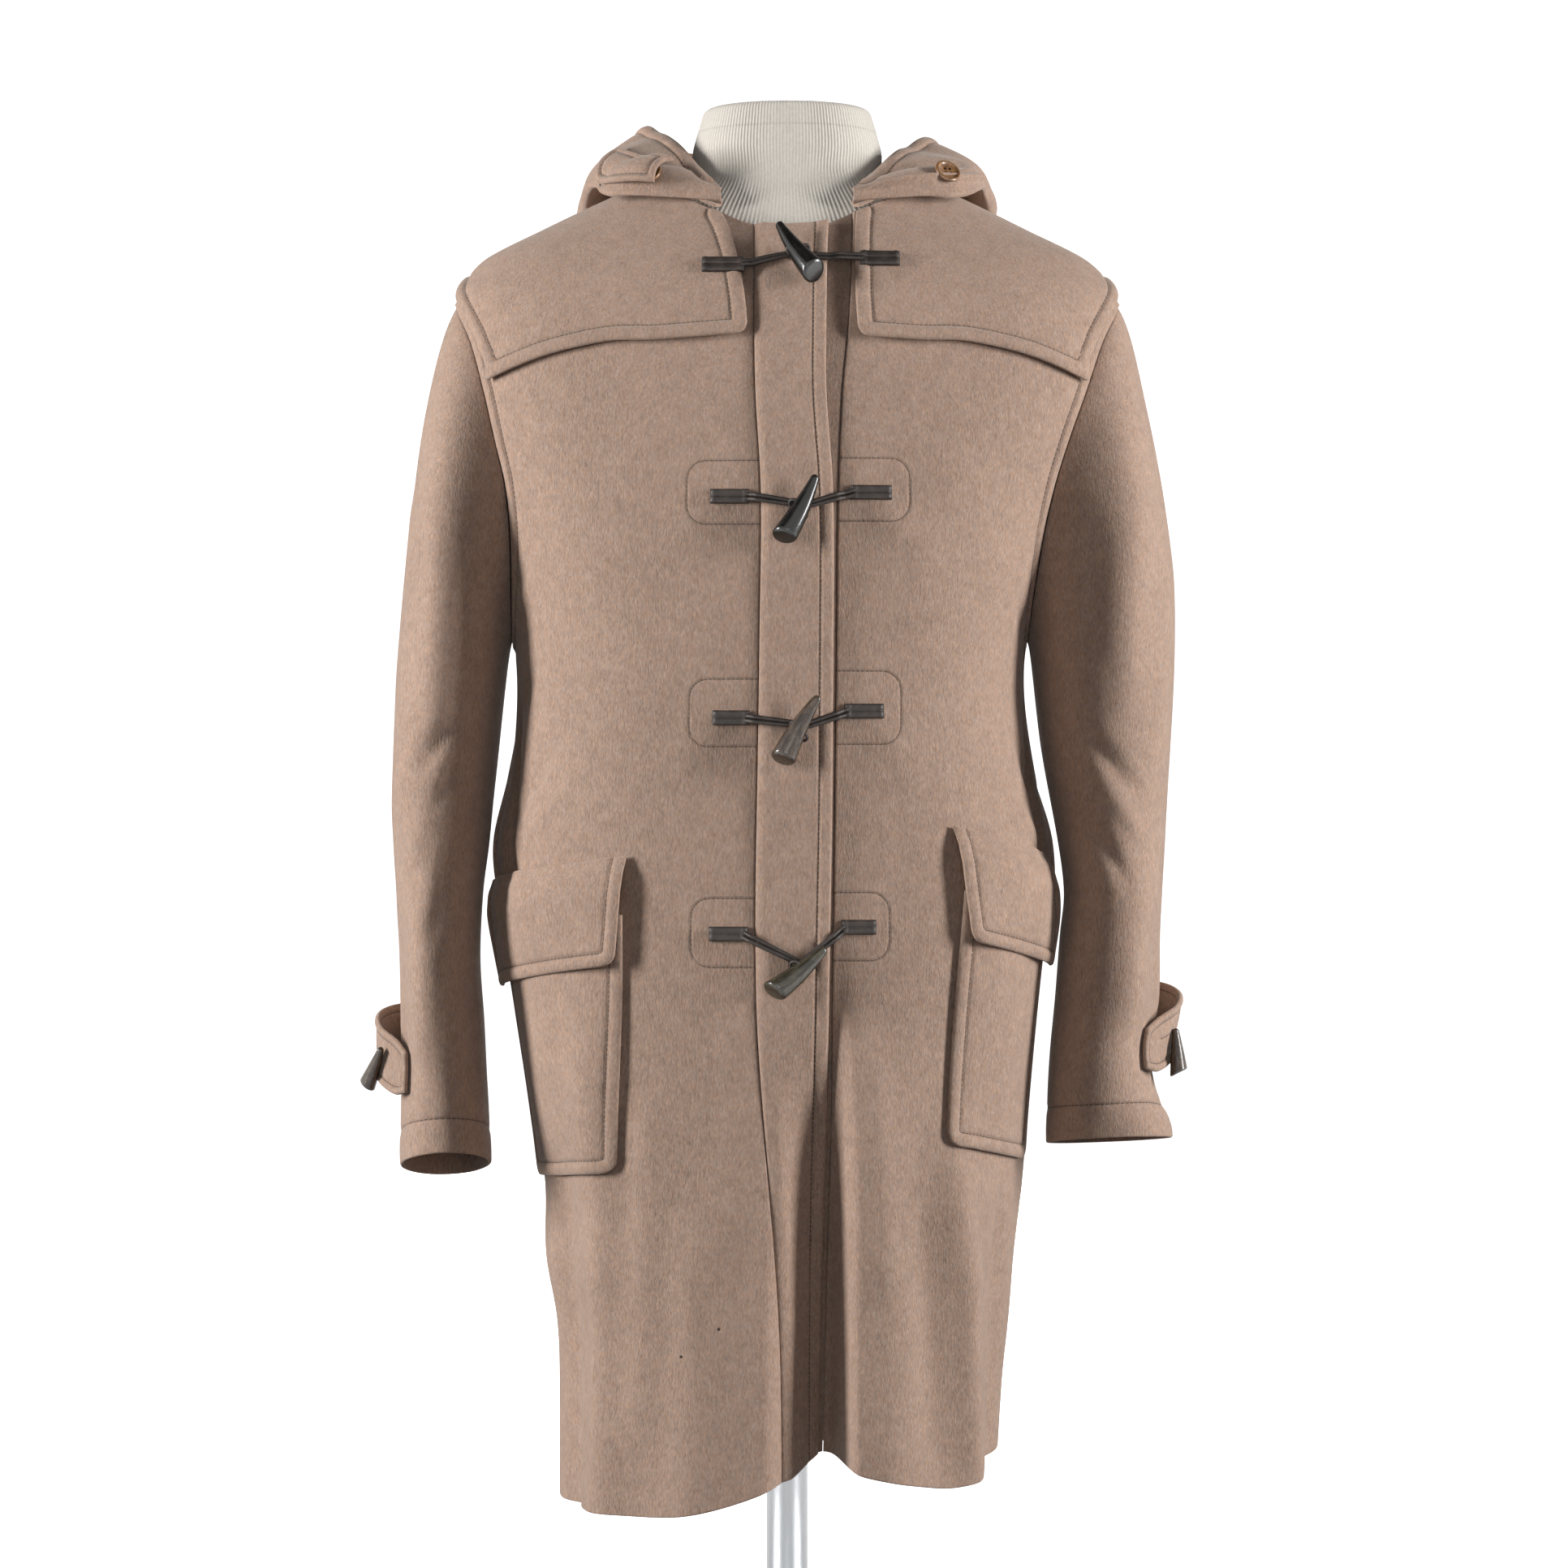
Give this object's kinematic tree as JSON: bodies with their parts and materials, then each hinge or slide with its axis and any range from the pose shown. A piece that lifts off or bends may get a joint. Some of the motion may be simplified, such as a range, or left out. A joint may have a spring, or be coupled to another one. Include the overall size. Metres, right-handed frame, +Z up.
{
  "type": "duffle coat on dress form",
  "caption": "Thigh-length hooded wool duffle coat with horn toggles, flap pockets and cuff tabs, buttoned on a limbless dress form with a low stand.",
  "frame": {"origin": "centre of the stand's underside on the floor, under the form's axis", "axes": "+Z up, the coat's front faces -Y, the wearer's right side is at -X"},
  "size_m": [0.6346, 0.3994, 1.217],
  "materials": {
    "wool": "napped wool melton, camel beige",
    "lining": "dark woven check",
    "leather": "dark brown, satin",
    "horn": "polished dark horn",
    "amber": "polished amber horn",
    "jersey": "ribbed jersey cover, off-white",
    "steel": "satin"
  },
  "bodies": {
    "root": {"front_right": "wool", "front_left": "wool", "back": "wool", "band_over": "wool", "band_under": "wool", "sleeve_right": "wool", "sleeve_left": "wool", "yoke_right": "wool", "yoke_left": "wool", "hood_right": "wool", "hood_left": "wool", "pocket_right": "wool", "pocket_left": "wool", "flap_right": "wool", "flap_left": "wool", "cuff_tab_right": "wool", "cuff_tab_left": "wool", "throat_tab": "wool", "hood_lining": "lining", "tab_right_1": "leather", "thong_right_1": "leather", "tab_left_1": "leather", "thong_left_1": "leather", "tab_right_2": "leather", "thong_right_2": "leather", "tab_left_2": "leather", "thong_left_2": "leather", "tab_right_3": "leather", "thong_right_3": "leather", "tab_left_3": "leather", "thong_left_3": "leather", "tab_right_4": "leather", "thong_right_4": "leather", "tab_left_4": "leather", "thong_left_4": "leather", "toggle_1": "horn", "toggle_2": "horn", "toggle_3": "horn", "toggle_4": "horn", "cuff_toggle_right": "horn", "cuff_toggle_left": "horn", "throat_button_right": "amber", "throat_button_left": "amber", "form_body": "jersey", "form_pole": "steel", "form_base": "steel"}
  },
  "joints": []
}
